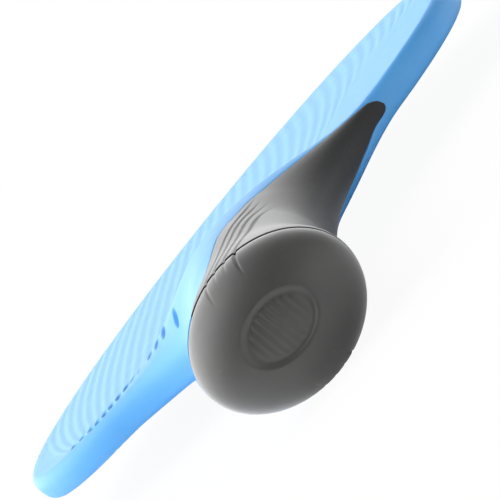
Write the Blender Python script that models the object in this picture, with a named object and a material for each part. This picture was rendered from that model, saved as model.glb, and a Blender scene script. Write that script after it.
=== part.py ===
"""A moulded table tennis bat: a rigid core with soft faces, a blue rim and throat, a dark grip and an end cap.

Metres, +Z out of the front face, +Y from the butt to the head, +X to the shoulder with the grip's tongue.
Plan points are measured from the butt, at Y = 0, and the whole bat then hangs on an empty that centres it.
"""

import math

import bmesh
import bpy
import numpy as np

# Blade, in plan and in thickness
OVERALL_LENGTH = 0.258
BLADE_WIDTH = 0.1478
BLADE_THICKNESS = 0.007
WIDEST_POINT = 0.1789
BLADE_START = 0.10905
SHOULDER_FULLNESS = 2.37
HEAD_FULLNESS = 2.02
RIM_ROUNDING = 0.0024
RIM_SQUARENESS = 2.6

# Handle and end cap, half sizes of an oval
CAP_DEPTH = 0.011
CAP_HALF_WIDTH = 0.0185
CAP_HALF_THICKNESS = 0.0144
CAP_FULLNESS = 2.1
BUTT_FLAT = 0.12
WAIST_FROM_CAP = 0.033
WAIST_HALF_WIDTH = 0.0156
WAIST_HALF_THICKNESS = 0.0136
FLARE_FROM_WAIST = 0.022
FLARE_HALF_WIDTH = 0.0157
FLARE_HALF_THICKNESS = 0.0139
OVAL_SQUARENESS = 2.0

# Throat, where the handle spreads into the blade
SHOULDER_REACH = 0.046
SHOULDER_PULL_HANDLE = 0.022
SHOULDER_PULL_BLADE = 0.020
THROAT_WIDTH = 0.104
THROAT_PEAK = 0.150
THROAT_SQUARENESS = 3.0
CREST_HOLD = 1.8
BACK_SCOOP = 0.25
FILLET_START_WIDTH = 0.020
FILLET_END_WIDTH = 0.059
# Shares of the throat's length, 0 at the flare and 1 on the blade
SQUARE_FROM = 0.3
SQUARE_TO = 0.8
PLAIN_SIDE_THIN_AT = 0.55
TONGUE_SIDE_FAT_TO = 0.46
SCOOP_FROM = 0.14
SCOOP_TO = 0.81

# Skins, core and clearances
SEAM_GAP = 0.0003
FACE_THICKNESS = 0.0016
FACE_LIP = 0.0003
CORE_THICKNESS = 0.0028
CORE_INSET = 0.0044
GRIP_THICKNESS = 0.0025
TANG_HALF_WIDTH = 0.009
SPIGOT_LENGTH = 0.008
HANDLE_CORE_END = 0.090

# Where the dark grip ends on the front and on the back, as plan points from the butt
GRIP_EDGE_FRONT = (
    (-0.0115, 0.0000), (-0.0088, 0.0140), (-0.0062, 0.0215), (-0.0040, 0.0285), (-0.0019, 0.0420),
    (0.0003, 0.0540), (0.0026, 0.0650), (0.0066, 0.0765), (0.0106, 0.0880), (0.0162, 0.0968),
    (0.0218, 0.1026), (0.0278, 0.1083), (0.0335, 0.1129), (0.0398, 0.1166),
)
GRIP_EDGE_BACK = (
    (-0.0115, 0.0000), (-0.0088, 0.0140), (-0.0062, 0.0215), (-0.0040, 0.0285), (-0.0019, 0.0420),
    (0.0003, 0.0540), (0.0036, 0.0660), (0.0086, 0.0780), (0.0140, 0.0885), (0.0200, 0.0964),
    (0.0247, 0.1020), (0.0312, 0.1080), (0.0377, 0.1137),
)
TONGUE_TIP = (0.0440, 0.1186)

# How finely the shapes are divided
DOME_ROWS = 8
HANDLE_ROWS = 11
THROAT_ROWS = 18
ACROSS = 17
RIM_STEPS = 4
RIM_POINTS = 76
EDGE_POINTS = 34
FAR = 0.2

HALF_THICKNESS = BLADE_THICKNESS / 2
HALF_WIDTH = BLADE_WIDTH / 2
WAIST = CAP_DEPTH + WAIST_FROM_CAP
FLARE = WAIST + FLARE_FROM_WAIST
SEAM = CAP_DEPTH


def smooth(value):
    value = np.clip(value, 0.0, 1.0)
    return value * value * (3 - 2 * value)


def blade_point(angle):
    """A point of the blade's outline, by angle about its widest line: 0 at +X, half pi at the head."""
    across, along = math.cos(angle), math.sin(angle)
    near = along < 0
    fullness = SHOULDER_FULLNESS if near else HEAD_FULLNESS
    reach = WIDEST_POINT - BLADE_START if near else OVERALL_LENGTH - WIDEST_POINT
    x = HALF_WIDTH * math.copysign(abs(across) ** (2 / fullness), across)
    y = WIDEST_POINT + reach * math.copysign(abs(along) ** (2 / fullness), along)
    return np.array((x, y))


def shoulder_angle(x):
    """The angle at which the blade's near edge has this X."""
    return -math.acos((x / HALF_WIDTH) ** (SHOULDER_FULLNESS / 2))


def handle_size(y):
    """Half width and half thickness of the handle below the flare."""
    to_waist = smooth((y - SEAM) / (WAIST - SEAM))
    to_flare = smooth((y - WAIST) / (FLARE - WAIST))
    width = CAP_HALF_WIDTH + (WAIST_HALF_WIDTH - CAP_HALF_WIDTH) * to_waist
    width += (FLARE_HALF_WIDTH - WAIST_HALF_WIDTH) * to_flare
    thick = CAP_HALF_THICKNESS + (WAIST_HALF_THICKNESS - CAP_HALF_THICKNESS) * to_waist
    thick += (FLARE_HALF_THICKNESS - WAIST_HALF_THICKNESS) * to_flare
    return width, thick


def even(points, count):
    """The same line with count points evenly spaced along it."""
    steps = np.hypot(*np.diff(points, axis=0).T)
    lengths = np.concatenate(([0.0], np.cumsum(steps)))
    wanted = np.linspace(0.0, lengths[-1], count)
    return np.stack([np.interp(wanted, lengths, points[:, axis]) for axis in (0, 1)], axis=1)


def throat_side(count):
    """The +X outline from the flare, round the throat fillet, to the end of the throat on the blade's edge."""
    start = shoulder_angle(SHOULDER_REACH)
    meet = blade_point(start)
    heading = blade_point(start + 0.001) - meet
    heading /= np.hypot(*heading)
    flare = np.array((FLARE_HALF_WIDTH, FLARE))
    pull = (flare, flare + (0, SHOULDER_PULL_HANDLE), meet - heading * SHOULDER_PULL_BLADE, meet)
    fillet = []
    for t in np.linspace(0.0, 1.0, 60):
        weights = ((1 - t) ** 3, 3 * (1 - t) ** 2 * t, 3 * (1 - t) * t * t, t ** 3)
        fillet.append(sum(weight * point for weight, point in zip(weights, pull)))
    angles = np.linspace(start, shoulder_angle(THROAT_WIDTH / 2), 16)[1:]
    return even(np.array(fillet + [blade_point(angle) for angle in angles]), count)


def head_side():
    """The outline from the +X end of the throat round the head to the -X end."""
    start = shoulder_angle(THROAT_WIDTH / 2)
    fine = np.array([blade_point(angle) for angle in np.linspace(start, math.pi / 2, 200)])
    half = even(fine, RIM_POINTS // 2 + 1)
    return np.concatenate((half, half[-2::-1] * (-1, 1)))


def normals_in(points):
    """Unit normals to the left of each point of a line, which is inwards where it runs round anticlockwise."""
    heading = np.gradient(points, axis=0)
    heading /= np.hypot(*heading.T)[:, None]
    return np.stack((-heading[:, 1], heading[:, 0]), axis=1)


def whole_outline():
    """The closed outline from the butt up the +X side, round the head and back down."""
    sides = [(handle_size(y)[0], y) for y in np.linspace(0.0, FLARE, 30)[:-1]]
    right = np.concatenate((np.array(sides), throat_side(60)))
    return np.concatenate((right, head_side()[1:-1], right[::-1] * (-1, 1)))


def depth_inside(points, outline):
    """How far each plan point lies from the outline."""
    start, along = outline[:-1], np.diff(outline, axis=0)
    square = np.maximum((along ** 2).sum(axis=1), 1e-18)
    share = ((points[:, None, :] - start) * along).sum(axis=2) / square
    nearest = start + np.clip(share, 0.0, 1.0)[..., None] * along
    return np.hypot(*np.moveaxis(points[:, None, :] - nearest, 2, 0)).min(axis=1)


def rim_height(depth):
    """Height of the blade's surface above its middle plane at this depth inside the outline."""
    out = 1 - np.clip(depth / RIM_ROUNDING, 0.0, 1.0)
    return HALF_THICKNESS * (1 - out ** RIM_SQUARENESS) ** (1 / RIM_SQUARENESS)


def throat_height(x, depth, share):
    """Height above the middle plane in the throat, where share runs from 0 at the flare to 1 on the blade."""
    crest = HALF_THICKNESS + (FLARE_HALF_THICKNESS - HALF_THICKNESS) * (1 - smooth(share ** CREST_HOLD))
    squared = smooth((share - SQUARE_FROM) / (SQUARE_TO - SQUARE_FROM))
    square = OVAL_SQUARENESS + (THROAT_SQUARENESS - OVAL_SQUARENESS) * squared
    out = np.abs(x) / (np.abs(x) + depth + 1e-9)
    oval = crest * (1 - out ** square) ** (1 / square)
    spread = FILLET_START_WIDTH + (FILLET_END_WIDTH - FILLET_START_WIDTH) * share
    bell = (1 - np.clip(np.abs(x) / spread, 0.0, 1.0) ** 2) ** 2
    filleted = rim_height(depth) * (1 + (crest / HALF_THICKNESS - 1) * bell)
    plain_side = smooth(share / PLAIN_SIDE_THIN_AT)
    tongue_side = smooth((share - TONGUE_SIDE_FAT_TO) / (1 - TONGUE_SIDE_FAT_TO))
    to_tongue = smooth(x / (2 * CAP_HALF_THICKNESS) + 0.5)
    blend = plain_side * (1 - to_tongue) + tongue_side * to_tongue
    return oval * (1 - blend) + filleted * blend


def scoop(share):
    """How much slimmer the back of the throat is than its front."""
    along = np.clip((share - SCOOP_FROM) / (SCOOP_TO - SCOOP_FROM), 0.0, 1.0)
    return 1 - BACK_SCOOP * np.sin(math.pi * along) ** 2


def rim_depths():
    return RIM_ROUNDING * (1 - np.cos(np.linspace(0.0, math.pi / 2, RIM_STEPS + 1)))


def handle_row(y, width, thick):
    """Front and back heights of a straight row across the handle."""
    inner = np.linspace(-1.0, 1.0, ACROSS + 2)[1:-1] * (1 - RIM_ROUNDING / CAP_HALF_WIDTH)
    edge = 1 - rim_depths() / CAP_HALF_WIDTH
    across = np.concatenate((-edge, inner, edge[::-1]))
    height = thick * (1 - np.abs(across) ** OVAL_SQUARENESS) ** (1 / OVAL_SQUARENESS)
    plan = np.stack((across * width, np.full_like(across, y)), axis=1)
    return plan, height, height


def bow(reach, share):
    """How far a row across the throat bends towards the head: 0 at its ends, 1 on the centre line."""
    return (1 - reach ** 2) ** (1 + share)


def throat_row(end, normal, share, outline):
    """Front and back heights of a bowed row across the throat, between the outline point and its mirror."""
    edge = end + normal * rim_depths()[:, None]
    reach = np.linspace(-1.0, 1.0, ACROSS + 2)[1:-1]
    middle = FLARE + (THROAT_PEAK - FLARE) * share
    x = edge[-1, 0] * reach
    y = edge[-1, 1] + (middle - edge[-1, 1]) * bow(reach, share)
    plan = np.concatenate((edge * (-1, 1), np.stack((x, y), axis=1), edge[::-1]))
    depth = depth_inside(plan, outline)
    depth[:RIM_STEPS + 1] = rim_depths()
    depth[-RIM_STEPS - 1:] = rim_depths()[::-1]
    height = throat_height(plan[:, 0], depth, share)
    return plan, height, height * scoop(share)


def body_rows():
    """Rows across the bat from the butt to the end of the throat."""
    rows = []
    for turn in np.linspace(BUTT_FLAT, math.pi / 2, DOME_ROWS + 1)[:-1]:
        y = CAP_DEPTH * (1 - math.cos(turn) / math.cos(BUTT_FLAT))
        grow = (1 - abs(math.cos(turn)) ** CAP_FULLNESS) ** (1 / CAP_FULLNESS)
        rows.append(handle_row(y, CAP_HALF_WIDTH * grow, CAP_HALF_THICKNESS * grow))
    for y in np.linspace(SEAM, FLARE, HANDLE_ROWS + 1)[:-1]:
        rows.append(handle_row(y, *handle_size(y)))
    outline = whole_outline()
    ends = throat_side(THROAT_ROWS + 1)
    normals = normals_in(ends)
    normals[0] = (-1, 0)
    for number, (end, normal) in enumerate(zip(ends, normals)):
        rows.append(throat_row(end, normal, number / THROAT_ROWS, outline))
    return rows


def ring_of(mesh, plan, front, back):
    """The vertices of one closed row: the front from -X to +X, then the back from +X to -X."""
    top = [mesh.verts.new((x, y, z)) for (x, y), z in zip(plan, front)]
    top[0].co.z = top[-1].co.z = 0.0
    under = [mesh.verts.new((x, y, -z)) for (x, y), z in zip(plan[1:-1], back[1:-1])]
    return top + under[::-1]


def join_rings(mesh, first, second):
    for number, vert in enumerate(first):
        after = (number + 1) % len(first)
        mesh.faces.new((vert, first[after], second[after], second[number]))


def rim_column(mesh, point, normal):
    """The rim's section at one outline point: front and back vertices from the edge inwards, sharing the first."""
    depths = rim_depths()
    heights = rim_height(depths)
    places = point + normal * depths[:, None]
    edge = mesh.verts.new((*places[0], 0.0))
    front = [edge] + [mesh.verts.new((*place, z)) for place, z in zip(places[1:], heights[1:])]
    back = [edge] + [mesh.verts.new((*place, -z)) for place, z in zip(places[1:], heights[1:])]
    return front, back


def whole_body():
    """The bat's outer form in one closed mesh, which the moulded pieces are cut from."""
    mesh = bmesh.new()
    rings = [ring_of(mesh, *row) for row in body_rows()]
    mesh.faces.new(rings[0])
    for first, second in zip(rings, rings[1:]):
        join_rings(mesh, first, second)
    last, across = rings[-1], ACROSS + 2 * RIM_STEPS + 2
    top = last[:across]
    under = [last[0]] + last[:across - 1:-1] + [last[across - 1]]
    edge = head_side()
    normals = normals_in(edge)
    columns = [(top[::-1][:RIM_STEPS + 1], under[::-1][:RIM_STEPS + 1])]
    columns += [rim_column(mesh, point, normal) for point, normal in zip(edge[1:-1], normals[1:-1])]
    columns += [(top[:RIM_STEPS + 1], under[:RIM_STEPS + 1])]
    for (front, back), (next_front, next_back) in zip(columns, columns[1:]):
        for step in range(RIM_STEPS):
            mesh.faces.new((front[step], next_front[step], next_front[step + 1], front[step + 1]))
            mesh.faces.new((back[step + 1], next_back[step + 1], next_back[step], back[step]))
    mesh.faces.new(top[RIM_STEPS:-RIM_STEPS] + [front[-1] for front, back in columns[1:-1]])
    mesh.faces.new(under[RIM_STEPS:-RIM_STEPS] + [back[-1] for front, back in columns[1:-1]])
    return mesh


def handle_tube(inset, start, end):
    """A plain oval bar that follows the handle, this far inside its surface."""
    mesh = bmesh.new()
    rings = []
    for y in np.linspace(start, end, 9):
        width, thick = handle_size(max(y, SEAM))
        share = np.clip((y - FLARE) / (THROAT_PEAK - FLARE), 0.0, 1.0)
        thick -= (FLARE_HALF_THICKNESS - HALF_THICKNESS) * smooth(share ** CREST_HOLD)
        ring = []
        for turn in np.linspace(0.0, 2 * math.pi, 29)[:-1]:
            x = (width - inset) * math.copysign(abs(math.cos(turn)) ** (2 / OVAL_SQUARENESS), math.cos(turn))
            z = (thick - inset) * math.copysign(abs(math.sin(turn)) ** (2 / OVAL_SQUARENESS), math.sin(turn))
            ring.append(mesh.verts.new((x, y, z)))
        rings.append(ring)
    mesh.faces.new(rings[0])
    mesh.faces.new(rings[-1])
    for first, second in zip(rings, rings[1:]):
        join_rings(mesh, first, second)
    return mesh


def prism(plan, low, high):
    """A flat plate of this plan outline between two heights."""
    mesh = bmesh.new()
    under = [mesh.verts.new((x, y, low)) for x, y in plan]
    over = [mesh.verts.new((x, y, high)) for x, y in plan]
    mesh.faces.new(under)
    mesh.faces.new(over)
    join_rings(mesh, under, over)
    return mesh


def slab(y_low, y_high, z_low=-FAR, z_high=FAR):
    corners = ((-FAR, y_low), (FAR, y_low), (FAR, y_high), (-FAR, y_high))
    return prism(corners, z_low, z_high)


def shrunk(plan, amount):
    """A closed plan outline moved inwards by this amount, with its corners kept sharp."""
    heading = np.roll(plan, -1, axis=0) - plan
    heading /= np.hypot(*heading.T)[:, None]
    after = np.stack((-heading[:, 1], heading[:, 0]), axis=1)
    before = np.roll(after, 1, axis=0)
    spread = 1 + (before * after).sum(axis=1)
    return plan + amount * (before + after) / spread[:, None]


def face_plan():
    """The outline of a face's pocket: inside the rim, and closed across the throat by the last bowed row."""
    edge = head_side()
    around = edge + normals_in(edge) * (RIM_ROUNDING + FACE_LIP)
    x_end, y_end = around[0]
    reach = np.linspace(-1.0, 1.0, 26)[1:-1]
    y = y_end + (THROAT_PEAK + FACE_LIP - y_end) * bow(reach, 1.0)
    across = np.stack((x_end * reach, y), axis=1)
    return np.concatenate((around, across))


def core_plan():
    """The outline of the core plate with its tang."""
    start = shoulder_angle(0.7 * SHOULDER_REACH)
    fine = np.array([blade_point(angle) for angle in np.linspace(start, math.pi / 2, 60)])
    right = fine + normals_in(fine) * CORE_INSET
    right[-1, 0] = 0.0
    tang_start = SEAM + SPIGOT_LENGTH + 2 * SEAM_GAP
    tang = np.array(((TANG_HALF_WIDTH, tang_start), (TANG_HALF_WIDTH, BLADE_START)))
    half = np.concatenate((tang, right))
    return np.concatenate((half, half[-2::-1] * (-1, 1)))


def bent_line(points, count):
    """A smooth line through the points, by blending the curves through each three of them."""
    ends = [2 * points[0] - points[1], *points, 2 * points[-1] - points[-2]]
    line = []
    for before, here, there, after in zip(ends, ends[1:], ends[2:], ends[3:]):
        for t in np.linspace(0.0, 1.0, 12, endpoint=False):
            line.append(0.5 * (
                2 * here + (there - before) * t + (2 * before - 5 * here + 4 * there - after) * t * t
                + (3 * here - before - 3 * there + after) * t ** 3
            ))
    return even(np.array(line + [points[-1]]), count)


def grip_edge(points, grow):
    """The grip's edge in plan from below the butt to the tongue's tip, moved out by a clearance."""
    tip = np.array(TONGUE_TIP)
    line = bent_line(np.array(points), EDGE_POINTS)
    line = line + normals_in(line) * grow
    beyond = tip + (0.6 * grow + 0.0035, grow * 0.6 - 0.0010)
    return np.concatenate((line, [tip + (grow * 0.2, grow), beyond]))


def grip_space(grow):
    """The space that the grip takes: beyond its edge on the front, and beyond another edge on the back."""
    mesh = bmesh.new()
    step = SEAM_GAP / 2 - grow
    levels = ((GRIP_EDGE_FRONT, FAR), (GRIP_EDGE_FRONT, step), (GRIP_EDGE_BACK, step - 1e-5), (GRIP_EDGE_BACK, -FAR))
    rings = []
    for points, height in levels:
        edge = grip_edge(points, grow)
        side = np.array(((FAR, edge[-1, 1]), (FAR, edge[0, 1] - 0.01), (edge[0, 0], edge[0, 1] - 0.01)))
        rings.append([mesh.verts.new((x, y, height)) for x, y in np.concatenate((edge, side))])
    mesh.faces.new(rings[0])
    mesh.faces.new(rings[-1])
    for first, second in zip(rings, rings[1:]):
        join_rings(mesh, first, second)
    return mesh


def finish(name, mesh, home):
    """Puts a mesh in the scene under the empty that centres the bat."""
    bmesh.ops.recalc_face_normals(mesh, faces=mesh.faces)
    data = bpy.data.meshes.new(name)
    mesh.to_mesh(data)
    mesh.free()
    piece = bpy.data.objects.new(name, data)
    bpy.context.scene.collection.objects.link(piece)
    piece.parent = home
    data.shade_smooth()
    data.set_sharp_from_angle(angle=math.radians(40))
    return piece


def cutter(name, mesh, home):
    piece = finish(name, mesh, home)
    piece.hide_render = True
    piece.display_type = "WIRE"
    return piece


def cut(piece, tool, operation):
    boolean = piece.modifiers.new(tool.name, "BOOLEAN")
    boolean.operation = operation
    boolean.solver = "EXACT"
    boolean.object = tool


def paint(piece, color, roughness):
    material = bpy.data.materials.new(piece.name)
    material.use_nodes = True
    shader = material.node_tree.nodes["Principled BSDF"]
    shader.inputs["Base Color"].default_value = (*color, 1.0)
    shader.inputs["Roughness"].default_value = roughness
    shader.inputs["Metallic"].default_value = 0.0
    piece.data.materials.append(material)


SKY_BLUE = (0.17, 0.50, 0.95)
FACE_BLUE = (0.25, 0.60, 0.97)
GRIP_GREY = (0.05, 0.05, 0.055)
CAP_GREY = (0.03, 0.03, 0.03)
CORE_GREY = (0.20, 0.21, 0.22)


def main():
    for old in list(bpy.data.objects):
        bpy.data.objects.remove(old)
    home = bpy.data.objects.new("bat_centre", None)
    bpy.context.scene.collection.objects.link(home)
    home.location = (0.0, -OVERALL_LENGTH / 2, 0.0)

    cap_space = cutter("cap_space", slab(-FAR, SEAM + SEAM_GAP / 2), home)
    past_cap = cutter("past_cap", slab(SEAM - SEAM_GAP / 2, FAR * 2), home)
    tube_end = HANDLE_CORE_END + SEAM_GAP
    handle_space = cutter("handle_space", handle_tube(GRIP_THICKNESS, SEAM - 0.002, tube_end), home)
    spigot_end = SEAM + SPIGOT_LENGTH
    spigot = cutter("spigot", handle_tube(GRIP_THICKNESS + SEAM_GAP, SEAM - 0.003, spigot_end), home)
    core_half = CORE_THICKNESS / 2
    core_room = shrunk(core_plan(), -SEAM_GAP)
    core_space = cutter("core_space", prism(core_room, -core_half - SEAM_GAP, core_half + SEAM_GAP), home)
    face_floor = HALF_THICKNESS - FACE_THICKNESS
    front_pocket = cutter("front_pocket", prism(face_plan(), face_floor - SEAM_GAP, FAR), home)
    back_pocket = cutter("back_pocket", prism(face_plan(), -FAR, SEAM_GAP - face_floor), home)
    grip_room = cutter("grip_room", grip_space(SEAM_GAP), home)
    grip_shape = cutter("grip_shape", grip_space(0.0), home)

    surround = finish("rim_and_throat", whole_body(), home)
    for tool in (cap_space, grip_room, handle_space, core_space, front_pocket, back_pocket):
        cut(surround, tool, "DIFFERENCE")
    paint(surround, SKY_BLUE, 0.45)

    grip = finish("grip_cover", whole_body(), home)
    cut(grip, grip_shape, "INTERSECT")
    cut(grip, cap_space, "DIFFERENCE")
    cut(grip, handle_space, "DIFFERENCE")
    cut(grip, core_space, "DIFFERENCE")
    paint(grip, GRIP_GREY, 0.6)

    cap = finish("end_cap", whole_body(), home)
    cut(cap, past_cap, "DIFFERENCE")
    cut(cap, spigot, "UNION")
    paint(cap, CAP_GREY, 0.6)

    for name, low, high in (
        ("front_face", face_floor, HALF_THICKNESS),
        ("back_face", -HALF_THICKNESS, -face_floor),
    ):
        face = finish(name, prism(shrunk(face_plan(), SEAM_GAP), low, high), home)
        paint(face, FACE_BLUE, 0.5)

    core = finish("blade_core", prism(core_plan(), -core_half, core_half), home)
    paint(core, CORE_GREY, 0.5)

    core_start = spigot_end + SEAM_GAP
    for name, low, high in (
        ("handle_core_front", SEAM_GAP / 2, FAR),
        ("handle_core_back", -FAR, -SEAM_GAP / 2),
    ):
        half = finish(name, handle_tube(GRIP_THICKNESS + SEAM_GAP, core_start, HANDLE_CORE_END), home)
        cut(half, cutter(name + "_side", slab(-FAR, FAR * 2, low, high), home), "INTERSECT")
        cut(half, core_space, "DIFFERENCE")
        paint(half, CORE_GREY, 0.5)


main()
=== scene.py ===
"""A moulded table tennis bat: the finish of its soft faces, blue rim and throat, dark grip and end cap.

Metres. Plan points are measured from the butt, at Y = 0, and frame_points() moves them into the frame,
where the bat is centred. Front is +Z, the head is +Y, and the grip's tongue ends at the +X shoulder.
"""

import math

import bmesh
import bpy
import numpy as np
from mathutils import Matrix, Vector


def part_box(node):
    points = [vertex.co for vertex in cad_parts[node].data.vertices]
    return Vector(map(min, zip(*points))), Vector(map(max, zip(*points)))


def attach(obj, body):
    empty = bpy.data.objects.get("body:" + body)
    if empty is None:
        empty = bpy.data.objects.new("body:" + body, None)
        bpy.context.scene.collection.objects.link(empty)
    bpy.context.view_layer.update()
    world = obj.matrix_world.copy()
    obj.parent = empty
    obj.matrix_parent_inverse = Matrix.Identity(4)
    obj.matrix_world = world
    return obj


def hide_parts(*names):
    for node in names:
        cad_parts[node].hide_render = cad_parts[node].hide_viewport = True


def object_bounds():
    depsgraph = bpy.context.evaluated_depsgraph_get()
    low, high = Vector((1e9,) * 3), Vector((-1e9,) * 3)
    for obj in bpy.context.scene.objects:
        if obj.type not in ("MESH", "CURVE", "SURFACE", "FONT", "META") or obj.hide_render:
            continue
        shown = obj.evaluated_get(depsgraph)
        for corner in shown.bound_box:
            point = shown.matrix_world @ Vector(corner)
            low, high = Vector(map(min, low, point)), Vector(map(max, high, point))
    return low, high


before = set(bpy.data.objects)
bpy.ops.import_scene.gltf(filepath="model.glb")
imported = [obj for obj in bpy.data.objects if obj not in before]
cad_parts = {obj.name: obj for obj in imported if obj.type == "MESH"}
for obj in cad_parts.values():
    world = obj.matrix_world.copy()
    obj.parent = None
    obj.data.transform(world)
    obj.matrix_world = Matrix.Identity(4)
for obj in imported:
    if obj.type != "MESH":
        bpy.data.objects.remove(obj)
CAD_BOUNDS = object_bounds()
BOX_LOW, BOX_HIGH = CAD_BOUNDS
MM = 0.001

# The bat's outer form, which follows the solids
OVERALL_LENGTH = BOX_HIGH[1] - BOX_LOW[1]
HALF_WIDTH = (BOX_HIGH[0] - BOX_LOW[0]) / 2
HALF_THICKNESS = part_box("front_face")[1][2]
WIDEST_POINT = 178.9 * MM
BLADE_START = 109.05 * MM
SHOULDER_FULLNESS = 2.37
HEAD_FULLNESS = 2.02
RIM_ROUNDING = 2.4 * MM
RIM_SQUARENESS = 2.3
CAP_DEPTH = 11 * MM
CAP_HALF_WIDTH = 18.5 * MM
CAP_HALF_THICKNESS = 14.4 * MM
CAP_FULLNESS = 2.1
WAIST = CAP_DEPTH + 33 * MM
WAIST_HALF_WIDTH = 15.6 * MM
WAIST_HALF_THICKNESS = 13.6 * MM
FLARE = WAIST + 22 * MM
FLARE_HALF_WIDTH = 15.7 * MM
FLARE_HALF_THICKNESS = 13.9 * MM
OVAL_SQUARENESS = 2.0
SEAM_GAP = 0.5 * MM
HANDLE_START = CAP_DEPTH + SEAM_GAP / 2

# The throat, where shares run from 0 at the flare to 1 on the blade
SHOULDER_REACH = 46 * MM
SHOULDER_PULL_HANDLE = 22 * MM
SHOULDER_PULL_BLADE = 20 * MM
THROAT_WIDTH = 104 * MM
THROAT_PEAK = 150 * MM
THROAT_SQUARENESS = 3.0
CREST_HOLD = 1.8
BACK_SCOOP = 0.25
FILLET_START_WIDTH = 20 * MM
FILLET_END_WIDTH = 59 * MM
SQUARE_FROM = 0.3
SQUARE_TO = 0.8
PLAIN_SIDE_THIN_AT = 0.55
PLAIN_SIDE_SLOPE = 12.5 * MM
BACK_SIDE_SLOPE = RIM_ROUNDING / 4
TONGUE_SIDE_FAT_TO = 0.46
SCOOP_FROM = 0.14
SCOOP_TO = 0.81

# Where the grip ends on each side, as plan points in millimetres
GRIP_EDGE_FRONT = (
    (-11.5, 0.0), (-8.8, 14.0), (-6.2, 21.5), (-4.0, 28.5), (-1.9, 42.0), (0.3, 54.0), (2.6, 65.0),
    (6.6, 76.5), (10.6, 88.0), (16.2, 96.8), (21.8, 102.6), (27.8, 108.3), (33.5, 112.9), (39.8, 116.5),
    (42.0, 117.55), (46.0, 120.3),
)
GRIP_EDGE_BACK = (
    (-11.5, 0.0), (-8.8, 14.0), (-6.2, 21.5), (-4.0, 28.5), (-1.9, 42.0), (0.3, 54.0), (3.6, 66.0),
    (8.6, 78.0), (14.0, 88.5), (20.0, 96.4), (24.7, 102.0), (31.3, 108.0), (35.8, 112.0), (46.0, 120.4),
)
TONGUE_TIP = 43.0 * MM
TONGUE_NOSE = 3.2 * MM
TONGUE_REACH_FRONT = 2.5 * MM
TONGUE_REACH_BACK = 1.4 * MM
TONGUE_BLEND = 4

# The grip's grooves, spread between the first and the last, and the notches where they meet the cap
GROOVES = 4
FIRST_GROOVE = ((-3.2, 10.5), (-0.2, 25.0), (1.9, 42.0), (4.4, 56.0), (7.2, 69.5), (9.4, 78.5), (11.8, 87.0))
LAST_GROOVE = ((4.6, 10.5), (6.3, 22.0), (7.6, 36.0), (9.1, 50.0), (10.9, 61.5), (12.7, 70.5), (15.4, 80.0))
GROOVE_HALF_WIDTH = 0.45 * MM
GROOVE_DEPTH = 0.3 * MM
FIRST_GROOVE_END = 92 * MM
LAST_GROOVE_END = 76 * MM
GROOVE_FADE = 22 * MM
GROOVE_FULLNESS = 1.5
NOTCH_DEPTHS = (0.16 * MM, 0.12 * MM, 0.16 * MM, 0.45 * MM)
NOTCH_HALF_WIDTH = 0.5 * MM
NOTCH_TIP_WIDTH = 0.5
NOTCH_RISE = 1.6
LONG_NOTCH_END = 3.1 * MM
SHORT_NOTCH_END = 5.5 * MM
NOTCH_SLANT = 0.2
BACK_NOTCH_SHARE = 0.6

# Ripple number k runs up the bat at x = middle + k * pitch + k ** 3 * crowding. Each is a curve in y, whose
# terms in millimetres follow, lowest first, for y counted from RIPPLE_FROM in steps of RIPPLE_SPAN.
RIPPLE_FROM = 180 * MM
RIPPLE_SPAN = 60 * MM
RIPPLE_MIDDLE = (-0.4, 6.1, -1.65)
RIPPLE_PITCH = (4.57, 0.175, -0.445)
RIPPLE_CROWDING = (-0.00227, 0.00187)
LEAST_PITCH = 0.3 * MM
MOST_RIPPLES = 17
RIPPLE_STEPS = 8
RIPPLE_DEPTH = 0.15 * MM
RIPPLE_INSET = 5 * MM
RIPPLE_FADE = 3.5 * MM
RIPPLE_RISE_FADE = 6 * MM
THUMB_REST_FROM = 80 * MM
THUMB_REST_SLOPE = 2.0
THUMB_REST_TO = 178 * MM
THUMB_REST_FADE = 16 * MM

# The pits at the near ends of the ripples, as plan points in millimetres
THROAT_PITS = ((-18.0, 96.3), (-22.8, 108.0), (-26.0, 112.4), (-29.1, 116.0))
THROAT_PIT_LENGTHS = (4 * MM, 6 * MM)
FACE_PITS = (
    (-33.4, 124.5), (-36.3, 126.5), (-38.6, 126.8), (-41.2, 127.0), (-43.8, 127.7), (-46.1, 128.2),
    (-48.5, 128.8), (-50.8, 130.0), (-53.5, 131.5), (-56.2, 133.4),
)
FACE_PIT_LENGTHS = (7 * MM, 3 * MM)
PIT_HALF_WIDTH = 1.1 * MM
PIT_DEPTH = 1.3 * MM
PIT_FULLNESS = 1.2
PIT_RIM = 1.6 * MM

# Edges of the pieces
EDGE_ROUNDING = 0.6 * MM
EDGE_DROP = 0.35 * MM
BLUE_EDGE_DROP = 0.08 * MM
HANDLE_END_DROP = 0.08 * MM
CAP_END_DROP = 0.06 * MM
SKIRT = 1.5 * MM
SHARP_ANGLE = math.radians(55)
WELD = 0.004 * MM

# The cap is slightly slimmer than the handle's end and sits a little off its centre
CAP_SET_IN = 0.1 * MM
CAP_OFFSET = (0.02 * MM, 0.0, -0.15 * MM)

# The plain ribbed dish in the cap
DISH_HALF_WIDTH = 8.6 * MM
DISH_HALF_HEIGHT = 6.0 * MM
DISH_DEPTH = 0.8 * MM
DISH_EDGE = 0.16
DISH_RIB_PITCH = 1.5 * MM
DISH_RIB_HEIGHT = 0.16 * MM
DISH_RIB_TO = 0.7
DISH_RIB_FADE = 0.15

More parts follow.
